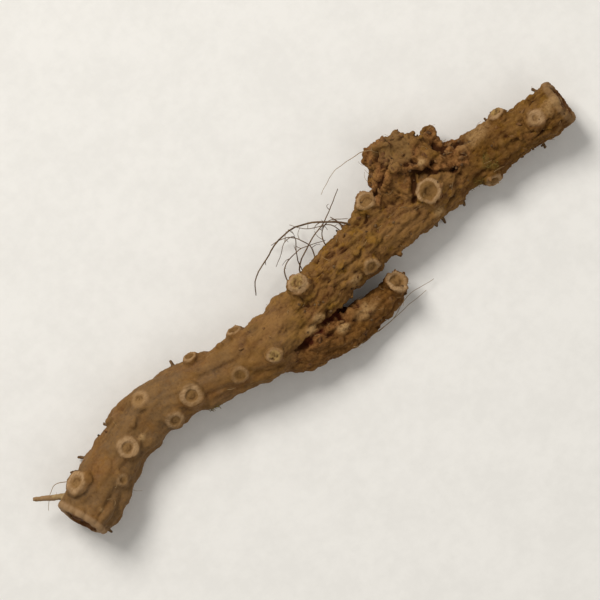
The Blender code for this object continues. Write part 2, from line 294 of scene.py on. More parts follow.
def course_row(course, share):
    """The row at a share of the course, from 0 to 1, on a smooth curve through its rows."""
    place = share * (len(course) - 1)
    first = min(int(place), len(course) - 2)
    t = place - first
    before, start, end, after = (
        Vector(course[min(max(first + step, 0), len(course) - 1)]) for step in (-1, 0, 1, 2)
    )
    return 0.5 * (
        2 * start
        + (end - before) * t
        + (2 * before - 5 * start + 4 * end - after) * t**2
        + (3 * start - before - 3 * end + after) * t**3
    )


def share_at(course, along_x):
    """The share at which a course that runs towards +X reaches this X."""
    low, high = 0.0, 1.0
    for _ in range(24):
        middle = (low + high) / 2
        if course_row(course, middle).x < along_x:
            low = middle
        else:
            high = middle
    return (low + high) / 2


def frame_at(course, share):
    """Centre, forward, sideways and up directions, and half width."""
    step = 0.01
    ahead = course_row(course, min(share + step, 1.0)).xyz
    behind = course_row(course, max(share - step, 0.0)).xyz
    forward = (ahead - behind).normalized()
    sideways = UP.cross(forward).normalized()
    row = course_row(course, share)
    return row.xyz, forward, sideways, forward.cross(sideways), row.w


def ray_at(sideways, up, angle):
    """The direction out of a limb at an angle from its top towards +Y."""
    return sideways * math.sin(angle) + up * math.cos(angle)


def frond_seats():
    """The centre of the stem, the ray and the radius of each frond's cup."""
    seats = []
    for along_x, degrees, radius, *_ in FROND_CUPS:
        centre, _, sideways, up, _ = frame_at(STEM_COURSE, share_at(STEM_COURSE, along_x))
        seats.append((centre, ray_at(sideways, up, math.radians(degrees)), radius))
    return seats


SEATS = frond_seats()


def bark_relief(centre, ray):
    """The bark's reach as a factor: furrows along the limb, slow swellings and knots."""
    furrow_spot = Vector((centre.x * 0.2, ray.y * 1.7, ray.z * 1.7 + ray.x))
    furrow = (1 - abs(noise.noise(furrow_spot))) ** 6
    swelling = noise.noise(Vector((centre.x * 0.36, ray.y * 0.9, ray.z * 0.9 + 5)))
    knots = noise.noise(centre * 0.5 + ray * 2.0)
    return 1.04 - FURROW_DEPTH * furrow + SWELLING_HEIGHT * swelling + KNOT_HEIGHT * knots


def stem_relief(centre, ray):
    """The bark's relief with a soft swelling under each frond's cup."""
    relief = bark_relief(centre, ray)
    for seat_centre, seat_ray, radius in SEATS:
        apart = (centre - seat_centre).length / (1.5 * radius)
        if apart < 3:
            relief += SEAT_HEIGHT * radius * math.exp(-apart * apart - (1 - ray.dot(seat_ray)) / 0.14)
    return relief


def shoot_relief(centre, ray):
    """The side shoot's relief, which is lumpier than the stem's."""
    return bark_relief(centre, ray) + SHOOT_LUMPS * noise.noise(centre * 0.8 + ray * 1.3)


def torn_relief(centre, ray):
    """The torn shoot's relief, whose bark has burst into coarse lumps."""
    lumps = noise.noise(centre * 0.55 + ray * 1.9)
    grit = noise.noise(centre * 1.3 + ray * 3.7)
    return 1 + TORN_LUMPS * lumps + TORN_GRIT * grit


def bark_point(limb_frame, angle, relief, flatness):
    """The point on a limb's bark at an angle from its top, and the ray that it lies on."""
    centre, _, sideways, up, half_width = limb_frame
    ray = ray_at(sideways, up, angle)
    reach = ray_at(sideways, up * flatness, angle)
    return centre + reach * (half_width * relief(centre, ray)), ray


def surface_point(course, share, angle, relief, flatness=STEM_FLATNESS):
    return bark_point(frame_at(course, share), angle, relief, flatness)


def on_stem(along_x, degrees):
    """The point on the stem's bark at this X and angle, and the ray that it lies on."""
    return surface_point(STEM_COURSE, share_at(STEM_COURSE, along_x), math.radians(degrees), stem_relief)


def add_skin(solid, rings, first_tip, last_tip):
    """Adds a closed skin through rings of points, with a fan to a tip at each end."""
    points, faces = solid
    start = len(points)
    sides = len(rings[0])
    for ring in rings:
        points.extend(ring)
    points.extend((first_tip, last_tip))
    last = start + (len(rings) - 1) * sides
    for side in range(sides):
        after = (side + 1) % sides
        for lower in range(start, last, sides):
            upper = lower + sides
            faces.append((lower + side, lower + after, upper + after, upper + side))
        faces.append((start + after, start + side, last + sides))
        faces.append((last + side, last + after, last + sides + 1))


def end_rings(ring, outward, pattern):
    """Smaller rings that close a limb's end, from its rim inwards, and the tip in their middle."""
    centre = sum(ring, Vector()) / len(ring)
    made = []
    for number, (share, stand) in enumerate(pattern):
        wobble = END_WOBBLE * (number + 1)
        shift = Vector((number, 0, 0))
        made.append([
            centre + (p - centre) * share + outward * (stand + wobble * noise.noise(p * 0.9 + shift))
            for p in ring
        ])
    return made, centre + outward * pattern[-1][1]


def add_limb(solid, course, relief, grid, first_pattern, last_pattern, flatness):
    """Adds a limb: rings of bark along its course, closed by a patterned end at each end."""
    stations, sides = grid
    rings = []
    for station in range(stations + 1):
        here = frame_at(course, station / stations)
        rings.append([
            bark_point(here, math.tau * side / sides, relief, flatness)[0] for side in range(sides)
        ])
    first_end, first_tip = end_rings(rings[0], -frame_at(course, 0.0)[1], first_pattern)
    last_end, last_tip = end_rings(rings[-1], frame_at(course, 1.0)[1], last_pattern)
    add_skin(solid, first_end[::-1] + rings + last_end, first_tip, last_tip)


def cup_places():
    """Each frond cup's foot on the bark, axis, radius, height and middle's stand."""
    places = []
    for along_x, degrees, radius, height, middle, *_ in FROND_CUPS:
        foot, ray = on_stem(along_x, degrees)
        places.append((foot, (ray + UP * (CUP_LEAN * height)).normalized(), radius, height, middle))
    return places


def add_cup(solid, number, foot, axis, radius, height, middle):
    """Adds a frond's seat: a raised rim round a shallow bowl or the stalk's stump."""
    profile = (
        (0.22 * radius, height + 0.65 * middle),
        (0.42 * radius, height + middle),
        (0.72 * radius, height + 0.85 * middle),
        (0.84 * radius, height - 0.02),
        (0.97 * radius, height),
        (1.06 * radius, height - 0.14),
        (1.3 * radius, -0.1),
        (1.05 * radius, -CUP_SINK),
    )
    turn = axis.to_track_quat("Z", "X").to_matrix()
    rings = []
    for reach, level in profile:
        ring = []
        for side in range(CUP_SIDES):
            angle = math.tau * side / CUP_SIDES
            local = Vector((reach * math.cos(angle), reach * math.sin(angle), level))
            place = local / radius + Vector((number * 3.1, 0, 0))
            local *= 1 + CUP_WOBBLE * noise.noise(place)
            ring.append(foot + turn @ local)
        rings.append(ring)
    add_skin(solid, rings, foot + axis * (height + 0.6 * middle), foot - axis * CUP_SINK)


def add_wire(solid, path, first_radius, last_radius, sides):
    """Adds a thin tube along a path of points, with closed ends."""
    rings = []
    across = (path[1] - path[0]).orthogonal()
    last = len(path) - 1
    for number, centre in enumerate(path):
        forward = (path[min(number + 1, last)] - path[max(number - 1, 0)]).normalized()
        across = (across - forward * across.dot(forward)).normalized()
        other = forward.cross(across)
        radius = first_radius + (last_radius - first_radius) * number / last
        rings.append([
            centre + ray_at(across, other, math.tau * side / sides) * radius for side in range(sides)
        ])
    forward = (path[-1] - path[-2]).normalized()
    add_skin(solid, rings, path[0], path[-1] + forward * last_radius * 0.5)


def add_spike(solid, root, tip, sag, thick, taper, joints=6):
    """Adds a stiff spike from a root to a tip that is thinner by the taper, curved by its sag."""
    shares = [joint / joints for joint in range(joints + 1)]
    path = [root.lerp(tip, share) + sag * (share * share - share) for share in shares]
    add_wire(solid, path, thick, thick * taper, sides=9)


def share_in_turn(draw, number, count, spread):
    """A random share of the stem near a numbered piece's place in an even row."""
    return min(max((number + draw.uniform(*spread)) / count, 0.02), 0.98)


def root_stub_rows():
    """Each root stub's foot in the stem, its tip and its sag, shorter towards the flanks."""
    draw = random.Random(ROOT_SEED)
    rows = []
    for number in range(ROOT_COUNT):
        share = share_in_turn(draw, number, ROOT_COUNT, (-0.6, 1.6))
        side = draw.choice((-1, 1))
        off_belly = draw.uniform(8, 82)
        bark, ray = surface_point(STEM_COURSE, share, math.radians(180 + side * off_belly), stem_relief)
        lean = Vector((draw.uniform(-1.0, 0.2), draw.uniform(-0.4, 0.4), 0))
        length = draw.uniform(0.6, 2.2) * (1.2 - off_belly / 90)
        tip = bark + (ray + lean).normalized() * (0.3 + length)
        rows.append((bark - ray * SUNK, tip, UP * (0.4 * length)))
    return rows


def add_nubs(solid):
    """Adds low knobs where a root broke off or a scale sat."""
    draw = random.Random(NUB_SEED)
    for number in range(NUB_COUNT):
        share = share_in_turn(draw, number, NUB_COUNT, (0, 1))
        angle = math.radians(draw.uniform(-95, 95))
        bark, ray = surface_point(STEM_COURSE, share, angle, stem_relief)
        tip = bark + ray * draw.uniform(0.15, 0.4)
        add_spike(solid, bark - ray * SUNK, tip, Vector(), NUB_RADIUS, 0.6, joints=2)


def add_crags(solid):
    """Adds crags of burst bark on the torn shoot's end and back."""
    draw = random.Random(CRAG_SEED)
    for _ in range(CRAG_COUNT):
        share = draw.uniform(0.45, 1.0)
        angle = math.radians(draw.uniform(-125, 125))
        bark, ray = surface_point(TORN_COURSE, share, angle, torn_relief, TORN_FLATNESS)
        forward = frame_at(TORN_COURSE, share)[1]
        direction = (ray * draw.uniform(0.3, 0.9) + forward * share).normalized()
        root = bark - ray * (SUNK + draw.uniform(0.0, 0.5))
        tip = bark + direction * draw.uniform(0.2, 0.8)
        add_spike(solid, root, tip, Vector(), CRAG_RADIUS, 0.55, joints=2)


def grown_form():
    """The points and faces of all that grew together, still as overlapping skins."""
    solid = ([], [])
    add_limb(solid, STEM_COURSE, stem_relief, STEM_GRID, BROKEN_END, BROKEN_END, STEM_FLATNESS)
    add_limb(solid, SHOOT_COURSE, shoot_relief, SHOOT_GRID, BROKEN_END, CUP_END, SHOOT_FLATNESS)
    add_limb(solid, TORN_COURSE, torn_relief, TORN_GRID, BROKEN_END, TORN_END, TORN_FLATNESS)
    for number, place in enumerate(cup_places()):
        add_cup(solid, number, *place)
    for root, tip, sag in root_stub_rows():
        add_spike(solid, root, tip, sag, ROOT_RADIUS, ROOT_TAPER)
    add_nubs(solid)
    add_crags(solid)
    add_spike(solid, SLIVER_ROOT, SLIVER_TIP, UP * 0.8, SLIVER_RADIUS, SLIVER_TAPER)
    return solid


# Fine skin


def one_skin(solid):
    """Melts the overlapping skins into one closed, even mesh, in millimetres."""
    points, faces = solid
    rough_data = bpy.data.meshes.new("grown_form")
    rough_data.from_pydata(points, [], faces)
    rough = bpy.data.objects.new("grown_form", rough_data)
    bpy.context.scene.collection.objects.link(rough)
    melt = rough.modifiers.new("melt", "REMESH")
    melt.mode = "VOXEL"
    melt.voxel_size = VOXEL
    ease = rough.modifiers.new("ease", "SMOOTH")
    ease.factor = 0.5
    ease.iterations = 2
    graph = bpy.context.evaluated_depsgraph_get()
    whole = bpy.data.meshes.new_from_object(rough.evaluated_get(graph))
    bpy.data.objects.remove(rough)
    return whole


def noise_field(places):
    """Smooth noise, about -0.6 to 0.6, at each row of places."""
    return np.fromiter(map(noise.noise, places.tolist()), float, len(places))


def billow(places):
    """Puffed ridges between narrow creases, from 0 in a crease to 1 on a ridge."""
    return np.clip(np.abs(noise_field(places)) * 2.6, 0.0, 1.0) ** 0.75


def eased(values, low, high):
    """0 below low and 1 above high, with a smooth step between them."""
    t = np.clip((values - low) / (high - low), 0.0, 1.0)
    return t * t * (3 - 2 * t)


def fading(values, low, high):
    """1 below low and 0 above high, with a smooth step between them."""
    return eased(-values, -high, -low)


def bell(values, width):
    """1 at 0, falling off smoothly on both sides over a width."""
    return np.exp(-((values / width) ** 2))


def on_limb(course, points, samples=600):
    """Each point's place along and across a limb, distance in half widths, and the limb's direction."""
    rows = [frame_at(course, n / (samples - 1)) for n in range(samples)]
    centres, forward, sideways, up = (np.array([row[k] for row in rows]) for k in range(4))
    half_width = np.array([row[4] for row in rows])
    steps = np.linalg.norm(np.diff(centres, axis=0), axis=1)
    along = np.concatenate([[0.0], np.cumsum(steps)])
    nearest = np.concatenate([
        np.argmin((centres**2).sum(1) - 2 * part @ centres.T, axis=1)
        for part in np.array_split(points, 60)
    ])
    offset = points - centres[nearest]
    places = np.stack([(offset * way[nearest]).sum(1) for way in (forward, sideways, up)], axis=1)
    places[:, 0] += along[nearest]
    return places, np.linalg.norm(offset, axis=1) / half_width[nearest], forward[nearest]


def off_line(points, start, end):
    """Each point's distance from the line between start and end."""
    run = np.array(end - start)
    offset = points - np.array(start)
    share = np.clip(offset @ run / (run @ run), 0, 1)
    return np.linalg.norm(offset - np.outer(share, run), axis=1)


def near_line(points, start, end, width):
    """1 on the line from start to end, falling to 0 a width away from it."""
    return fading(off_line(points, start, end), 0.6 * width, width)


def beside_axis(points, foot, axis):
    """How far each point is along an axis from its foot, and its offset across the axis."""
    offset = points - np.array(foot)
    level = offset @ np.array(axis)
    return level, offset - np.outer(level, np.array(axis))


def raise_to(mask, values, near=slice(None)):
    """Raises a mask's numbers to these values where they are lower."""
    mask[near] = np.maximum(mask[near], values)


def cup_masks(points):
    """How much each point belongs to a cup's rim, bowl, stump, dots and pale middle, and its fill."""
    rim, bowl, stump, dots, middles, fill = (np.zeros(len(points)) for _ in range(6))
    shoot_end, shoot_axis, _, _, shoot_width = frame_at(SHOOT_COURSE, 1.0)
    places = [*cup_places(), (shoot_end, shoot_axis, shoot_width, 0.02, -0.3)]
    looks = [*(cup[5:] for cup in FROND_CUPS), SHOOT_CUP_LOOK]
    for number, (foot, axis, radius, height, middle) in enumerate(places):
        pale_rim, pale_middle, rim_width = looks[number]
        level, flat = beside_axis(points, foot, axis)
        reach = np.linalg.norm(flat, axis=1) / radius
        near = (reach < 1.5) & (level > height - 0.9) & (level < height + 0.8)
        flat, reach, level = flat[near], reach[near], level[near] - height
        width = rim_width * (1 + 0.32 * noise_field(flat * 1.2 + number * 3.0))
        edge = 1.07 - rim_width + 0.12 * noise_field(flat * 1.6 + number * 7.0)
        worn = eased(noise_field(flat * 0.9 + number * 5.0), -0.4, 0.2)
        ring = bell(reach - edge, width) * eased(level, -0.4, -0.16)
        inside = fading(reach, 0.66, 0.88) * eased(level, -0.8, -0.5)
        raise_to(rim, ring * pale_rim * (0.55 + 0.45 * worn), near)
        full = np.maximum(ring * fading(reach, 0.72, 0.88), 0.7 * pale_middle * inside)
        raise_to(fill, full * max(-middle, 0), near)
        raise_to(stump if middle > 0 else bowl, inside, near)
        raise_to(middles, inside * pale_middle, near)
        across = np.array(axis.orthogonal().normalized())
        turn = np.arctan2(flat @ np.cross(np.array(axis), across), flat @ across)
        arc = bell(reach - 0.3, 0.09) * eased(np.cos(turn - 2.1 * number), -0.3, 0.3)
        raise_to(dots, inside * (0.75 * arc + 0.5 * bell(reach, 0.11)), near)
    return rim, bowl, stump, dots, middles, fill


def cut_masks(points):
    """How much each point belongs to a broken end's face, lip and sap strands."""
    cut, lip, strands = (np.zeros(len(points)) for _ in range(3))
    for share, way, pale in ((0.0, -1, 1.0), (1.0, 1, 0.55)):
        centre, forward, sideways, up, half_width = frame_at(STEM_COURSE, share)
        level, flat = beside_axis(points, centre, forward * way)
        reach = np.linalg.norm(flat, axis=1) / half_width
        ragged = level + 0.12 * noise_field(points * 0.5)
        face = eased(level, -0.4, -0.15) * fading(reach, 0.66, 0.8) * (level < 1.4)
        raise_to(cut, face)
        raise_to(lip, pale * eased(ragged, -0.28, -0.02) * (1 - face) * (level < 1.4))
        for strand in range(STRAND_COUNT):
            turn = math.tau * (strand + 0.3 * (strand % 3)) / STRAND_COUNT
            spot = np.array(ray_at(sideways, up * STEM_FLATNESS, turn))
            apart = np.linalg.norm(flat - spot * half_width * STRAND_RING, axis=1)
            raise_to(strands, face * bell(apart, STRAND_RADIUS))
    return cut, lip, strands


def split_mask(points):
    """How deep each point lies in a split in the bark's back, from 0 to 1."""
    depth = np.zeros(len(points))
    wander = 0.22 * noise_field(points * 0.9 + 23.0)
    for start, end, half_width in SPLITS:
        apart = off_line(points[:, :2], np.array(start), np.array(end)) + wander
        raise_to(depth, fading(apart, 0.25 * half_width, half_width))
    return depth * eased(points[:, 2], 2.4, 3.2)


def back_mask(points, spots):
    """How much each point on the back belongs to a spot, and the spot's radius there."""
    near, size = (np.zeros(len(points)) for _ in range(2))
    high = eased(points[:, 2], 1.6, 2.2)
    ragged = 0.5 * noise_field(points * 1.9 + 37.0)
    for along_x, along_y, radius, stretch, pale in spots:
        offset = points[:, :2] - (along_x, along_y)
        apart = np.hypot(offset[:, 0] / stretch, offset[:, 1]) / radius + ragged
        spot = high * np.exp(-(np.clip(apart, 0, None) ** 3))
        raise_to(near, spot * pale)
        raise_to(size, spot * radius)
    return near, size


def moss_mask(points):
    """How much each point belongs to a patch of moss."""
    moss = np.zeros(len(points))
    ragged = noise_field(points * 1.3)
    for along_x, degrees, radius in MOSS_SPOTS:
        apart = np.linalg.norm(points - np.array(on_stem(along_x, degrees)[0]), axis=1) / radius
        raise_to(moss, fading(apart + 0.9 * ragged, 0.45, 1.35))
    return moss


def root_mask(points):
    """How much each point belongs to a root's stub, outside the bark."""
    root_like = np.zeros(len(points))
    for root, tip, _ in root_stub_rows():
        start = root + (tip - root).normalized() * (SUNK + 0.1)
        close = np.abs(points - np.array((start + tip) / 2)).max(axis=1) < (tip - start).length / 2 + 0.6
        raise_to(root_like, near_line(points[close], start, tip, 0.42), close)
    return root_like


class BarkSkin:
    """The fine mesh of the whole grown piece, and what is known of each of its points."""

    def __init__(self):
        self.data = one_skin(grown_form())
        self.points = self.read(self.data.vertices, "co")
        self.normals = self.read(self.data.vertex_normals, "vector")
        self.find_places()
        self.find_masks()
        self.wear_down()
        self.relieve()
        self.write()

    @staticmethod
    def read(items, name):
        values = np.empty(len(items) * 3)
        items.foreach_get(name, values)
        return values.reshape(-1, 3)

    def find_places(self):
        """Finds each point's limb and place along it, and the regions of the bark."""
        points = self.points
        x, y, z = points.T
        self.grain, off_stem, self.forward = on_limb(STEM_COURSE, points)
        shoot, off_shoot, shoot_forward = on_limb(SHOOT_COURSE, points)
        torn, off_torn, torn_forward = on_limb(TORN_COURSE, points)
        self.shoot = eased(off_stem - off_shoot, -0.15, 0.25) * (x < 12)
        edge = np.interp(x, TORN_EDGE_X, TORN_EDGE_Y)
        above = eased(y - edge + 0.7 * noise_field(points * 0.8), -0.15, 0.35)
        self.torn = above * fading(off_torn, 1.25, 1.55) * (x > 8)
        for limb, grain, forward in ((self.shoot, shoot, shoot_forward), (self.torn, torn, torn_forward)):
            on_it = limb > 0.5
            self.grain[on_it] = grain[on_it]
            self.forward[on_it] = forward[on_it]
        valley = bell(off_stem - off_shoot, 0.16) * eased(z, 1.6, 2.6)
        self.valley = valley * eased(x, -5.5, -1.5) * (x < 9) * (y < 0)
        pocket = bell(y + 2.6, 0.9) * eased(z, 1.4, 2.2)
        pocket *= eased(x, -4.0, -2.4) * fading(x, 3.0, 4.2)
        self.pocket = pocket * eased(off_stem - off_shoot, -0.3, 0.05)
        self.younger = eased(x, OLDER_X, YOUNGER_X)
        self.umber = np.maximum(self.shoot, 0.9 * eased(x, 16.0, 20.0) - 0.35 * eased(x, 22.5, 26.0))
        along_x, along_y, radius = MOUND
        apart = np.hypot(x - along_x, y - along_y) / radius
        self.mound = fading(apart + 0.4 * noise_field(points * 0.7), 0.6, 1.1) * self.torn

    def find_masks(self):
        points = self.points
        self.rim, self.bowl, self.stump, self.dots, self.middle, self.fill = cup_masks(points)
        self.cut, self.lip, self.strands = cut_masks(points)
        self.split = split_mask(points)
        self.lump, self.lump_size = back_mask(points, LUMPS)
        self.worn, _ = back_mask(points, WORN_SPOTS)
        self.moss = moss_mask(points)
        self.root = root_mask(points)
        self.sliver = near_line(points, SLIVER_ROOT.lerp(SLIVER_TIP, 0.3), SLIVER_TIP + UP * 0.1, 0.9)
        whole = eased(noise_field(points * 0.42 + 61.0), 0.02, 0.26)
        top_of_shoot = 0.3 * self.shoot * eased(points[:, 2], 1.0, 3.0)
        burst = self.torn * (1 - 0.75 * np.maximum(whole, self.mound))
        self.wild = np.clip(burst + top_of_shoot + self.pocket, 0, 1)
        held = 0.9 * (self.rim + self.bowl + self.lump) + self.root + self.sliver + 0.8 * self.lip
        self.calm = 1 - np.clip(held, 0, 1)

    def wear_down(self):
        """Softens the torn shoot's crags: each point moves towards the middle of its neighbours."""
        ends = np.empty(len(self.data.edges) * 2, dtype=np.int32)
        self.data.edges.foreach_get("vertices", ends)
        first, second = ends.reshape(-1, 2).T
        count = len(self.points)
        neighbours = np.bincount(ends, minlength=count)
        share = 0.5 * self.torn * (1 - np.clip(self.rim + self.bowl + self.stump, 0, 1))
        for _ in range(WORN_ROUNDS):
            for column in self.points.T:
                total = np.bincount(first, column[second], count)
                total += np.bincount(second, column[first], count)
                column += (total / neighbours - column) * share
        self.data.vertices.foreach_set("co", self.points.ravel())
        self.data.update()
        self.normals = self.read(self.data.vertex_normals, "vector")

    def relieve(self):
        """Raises the bark's wrinkles, lumps and crags, and sinks its creases, nicks and splits."""
        points = self.points
        strength = (OLDER_SHARE + (1 - OLDER_SHARE) * self.younger) * (1 - 0.6 * self.worn)
        drift = noise_field(self.grain * (0.2, 0.45, 0.45)) * 1.3
        bent = self.grain + np.outer(drift, (0.0, 1.0, -1.0))
        wrinkle = billow(bent * (0.27, 0.9, 0.9))
        crease = billow(bent * (0.95, 2.3, 2.3) + 17.0)
        crumbs = billow(points * (1.2, 1.5, 1.5) + 43.0)
        grit = noise_field(points * 3.6)
        lumps = noise_field(points * (0.62, 0.85, 0.85) + 31.0)
        dents = noise_field(points * 0.95 + 7.0)
        nicks = eased(noise_field(self.grain * (0.8, 1.7, 1.7) + 53.0), 0.26, 0.46)
        nicks *= eased(self.younger, 0.1, 1.0)
        burst = billow(points * 0.8 + 71.0) - 0.55 + 0.42 * (billow(points * 1.9 + 13.0) - 0.15)
        holes = eased(noise_field(points * 1.05 + 90.0), 0.16, 0.4)
        slits = self.valley * eased(noise_field(points * (0.8, 1.6, 1.6) + 11.0), -0.25, 0.15)
        cracked = self.stump * fading(np.abs(noise_field(points * 1.1 + 4.0)), 0.02, 0.06)

        stand = WRINKLE_HEIGHT * (wrinkle - 0.62) * strength
        stand += CREASE_HEIGHT * (crease - 0.6) * strength
        stand += CRUMB_HEIGHT * (crumbs - 0.6) * self.younger
        stand += LUMP_HEIGHT * lumps * strength
        stand += DENT_DEPTH * dents * (1 - self.younger)
        stand -= NICK_DEPTH * nicks
        stand += (CRAG_HEIGHT * burst - HOLE_DEPTH * holes) * self.wild
        stand -= SLIT_DEPTH * slits
        stand *= self.calm * (1 - 0.6 * self.cut)
        stand -= SPLIT_DEPTH * self.split
        stand += GRIT_HEIGHT * grit * (0.35 + 0.65 * strength) * (1 - 0.6 * self.bowl)
        stand += LIP_HEIGHT * self.lip * (1 + 0.8 * noise_field(points * 0.8))
        stand += LUMP_RISE * self.lump_size + 0.8 * self.fill
        stand -= 0.1 * self.dots + 0.22 * cracked
        points += self.normals * stand[:, None]
        points[:, 2] = np.clip(points[:, 2], 0.0, ROOM_HIGH.z + TOP_ROOM)

        # How high each point stands in the relief, from 0 in creases, splits and holes to 1 on ridges; the
        # bark's colour paints shade in the low places and highlight on the high ones
        ridge = 0.36 * wrinkle + 0.24 * crease + 0.22 * crumbs + 0.2 * (grit + 0.5) + 0.3 * lumps
        ridge = 1 - (1 - ridge) * strength - 0.3 * nicks
        ridge += self.wild * (0.48 + 0.55 * burst - 0.7 * holes - ridge)
        ridge += self.lump * (0.75 - ridge)
        self.ridge = np.clip(ridge - 0.8 * slits - 0.75 * self.split - 0.7 * cracked, 0, 1)

    def write(self):
        shifted = (self.points + np.array(TO_ORIGIN)) * MM
        self.data.vertices.foreach_set("co", shifted.ravel())
        for name in ("ridge", "rim", "bowl", "stump", "dots", "middle", "cut", "lip", "strands", "lump",
                     "worn", "wild", "pocket", "mound", "moss", "root", "sliver", "umber", "younger"):
            mask = self.data.attributes.new(name, "FLOAT", "POINT")
            mask.data.foreach_set("value", getattr(self, name))
        grain = self.data.attributes.new("grain", "FLOAT_VECTOR", "POINT")
        grain.data.foreach_set("vector", self.grain.ravel())
        self.data.shade_smooth()

    def spots(self, seed, weights, count):
        """Points drawn at random by weight, each with its normal and its limb's direction."""
        draw = np.random.default_rng(seed)
        drawn = draw.choice(len(weights), count, replace=False, p=weights / weights.sum())
        return [[Vector(rows[n]) for rows in (self.points, self.normals, self.forward)] for n in drawn]


# Small pieces on the bark


def kept_in(point, radius):
    """The point, kept above the floor and within the room that the piece may fill."""
    low = (*ROOM_LOW.xy, radius)
    return Vector([min(max(place, least), most) for place, least, most in zip(point, low, ROOM_HIGH)])


def curved_path(rows, radius, shiver):
    """A smooth path through the rows, with the small kinks of a dry root."""
    path = []
    for step in range(PATH_STEPS + 1):
        point = course_row(rows, step / PATH_STEPS)
        kink = noise.noise_vector(point * 1.1) * shiver + noise.noise_vector(point * 0.35) * (3 * shiver)
        path.append(kept_in(point + kink * min(1, step / 5), radius))
    return path


def wandering_path(draw, start, direction, length, pull, radius, steps=9):
    """A path that starts in one direction and is pulled into another as it wanders."""
    path = [kept_in(start, radius)]
    turn = Vector((draw.uniform(-1, 1), draw.uniform(-1, 1), draw.uniform(-0.4, 0.4))) * 0.22
    for _ in range(steps):
        direction = (direction + pull * 0.22 + turn + noise.noise_vector(path[-1] * 0.9) * 0.3).normalized()
        path.append(kept_in(path[-1] + direction * (length / steps), radius))
    return path


def wiry_roots():
    """Thin roots that go on from stubs on the belly, and those that arch out of the flank."""
    solid = ([], [])
    draw = random.Random(WIRE_SEED)
    for root, tip, _ in root_stub_rows():
        direction = (tip - root).normalized()
        hidden = direction.z < -0.55 and tip.z > 0.1 and abs(tip.x) < WIRE_REACH
        if draw.random() > WIRE_SHARE or not hidden:
            continue
        pull = Vector((draw.uniform(-0.9, 0.2), direction.y * 0.6, -0.3))
        length = draw.uniform(0.6, 2.4)
        path = wandering_path(draw, tip - direction * 0.1, direction, length, pull, ROOTLET_RADIUS)
        add_wire(solid, path, ROOTLET_RADIUS, 0.035, sides=7)
    for thick, rows in ARCHING_ROOTS:
        path = curved_path(rows, thick, 0.09)
        add_wire(solid, path, thick, thick * 0.45, sides=7)
        for start in (path[8], path[14], path[20]):
            way = Vector((draw.uniform(-1, 1), draw.uniform(-0.4, 1), draw.uniform(-0.8, 0.4))).normalized()
            branch = wandering_path(draw, start, way, draw.uniform(0.6, 1.6), -UP, BRANCH_RADIUS)
            add_wire(solid, branch, thick * 0.5, 0.02, sides=5)
    return solid


def pale_hairs(skin):
    """Long pale hairs off the shoots, and short ones that stand on the bark."""
    solid = ([], [])
    for rows in LONG_HAIRS:
        add_wire(solid, curved_path(rows, HAIR_RADIUS, 0.08), HAIR_RADIUS, 0.02, sides=5)
    draw = random.Random(SHORT_HAIR_SEED)
    weights = (0.3 + skin.younger + 2 * skin.torn + skin.shoot) * (skin.points[:, 2] > 0.8)
    for point, normal, forward in skin.spots(SHORT_HAIR_SEED, weights, SHORT_HAIR_COUNT):
        way = (normal + forward * draw.uniform(-1, 1)).normalized()
        path = wandering_path(draw, point, way, draw.uniform(0.4, 1.3), forward - normal, 0.03, steps=6)
        add_wire(solid, path, SHORT_HAIR_RADIUS, 0.012, sides=4)
    return solid


def add_leaf(solid, root, along, out, length, width, lift, curl):
    """Adds a thin pointed leaf or scale that lifts off its root and curls."""
    points, faces = solid
    start = len(points)
    across = along.cross(out)
    rows = 6
    for row in range(rows):
        t = row / (rows - 1)
        half = width / 2 * math.sin(math.pi * (0.16 + 0.82 * t)) ** 0.8
        spine = root + along * (length * t) + out * (length * (lift * t + curl * t * t))
        for side in (-1, 0, 1):
            points.append(spine + across * (half * side) - out * (0.3 * half * abs(side)))
    for row in range(rows - 1):
        for side in (0, 1):
            corner = start + row * 3 + side
            faces.append((corner, corner + 1, corner + 4, corner + 3))


def bark_scales(skin):
    """Chaff that lies on the torn shoot, and small flakes lifted off the bark."""
    solid = ([], [])
    draw = random.Random(SCALE_SEED)
    bare = skin.rim + skin.bowl + skin.stump + skin.root + skin.sliver + skin.split
    high = skin.points[:, 2] > 0.6
    chaff = np.clip(skin.torn - bare, 0, None) * high
    flakes = np.clip(0.12 + 0.8 * skin.younger + 0.6 * skin.shoot - skin.torn - bare, 0, None) * high
    for weights, count, lengths, lifts, widths, spread in (
        (chaff, CHAFF_COUNT, (0.35, 0.8), (0.0, 0.06), (0.45, 0.8), 0.9),
        (flakes, FLAKE_COUNT, (0.3, 0.7), (0.0, 0.12), (0.4, 0.8), 0.7),
    ):
        for point, normal, forward in skin.spots(SCALE_SEED, weights, count):
            yaw = draw.gauss(0, spread)
            along = forward * math.cos(yaw) + normal.cross(forward) * math.sin(yaw)
            along = (along - normal * along.dot(normal)).normalized()
            length = draw.uniform(*lengths)
            width = length * draw.uniform(*widths)
            add_leaf(solid, point - normal * 0.03, along, normal, length, width, draw.uniform(*lifts),
                     draw.uniform(-0.3, 0.05))
    return solid


def moss_leaves(skin):
    """Small pointed leaves that stand in a tuft on each patch of moss."""
    solid = ([], [])
    draw = random.Random(MOSS_SEED)
    weights = skin.moss**2 + 1e-9
    for point, normal, forward in skin.spots(MOSS_SEED, weights, MOSS_LEAVES * len(MOSS_SPOTS)):
        way = (normal + Vector([draw.uniform(-0.8, 0.8) for _ in range(3)])).normalized()
        out = (forward - way * forward.dot(way)).normalized()
        length = draw.uniform(0.18, 0.42)
        add_leaf(solid, point, way, out, length, length * 0.34, 0.1, draw.uniform(-0.5, 0.5))
    return solid


